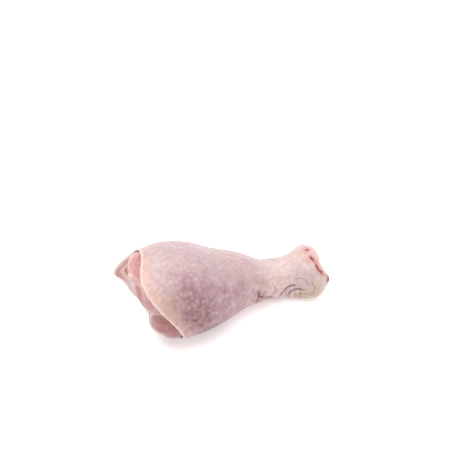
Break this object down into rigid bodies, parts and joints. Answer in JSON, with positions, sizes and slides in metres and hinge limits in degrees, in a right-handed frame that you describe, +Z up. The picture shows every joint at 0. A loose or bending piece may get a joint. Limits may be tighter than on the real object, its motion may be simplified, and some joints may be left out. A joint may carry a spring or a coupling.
{
  "type": "raw chicken drumstick",
  "caption": "Raw chicken leg with its skin on, cut at the knee and the hock: a plump calf of meat that tapers to a bone end with cartilage",
  "frame": {"origin": "under the middle of the leg's box, on the surface that it lies on", "axes": "+X along the leg from the knee cut to the hock, +Y to the far side, +Z up"},
  "size_m": [0.115, 0.0568, 0.0524],
  "materials": {
    "skin": "moist, soft satin raw skin",
    "meat": "wet raw meat",
    "bone": "wet cartilage over bone"
  },
  "bodies": {
    "root": {"skin": "skin", "meat": "meat", "bone": "bone"}
  },
  "joints": []
}
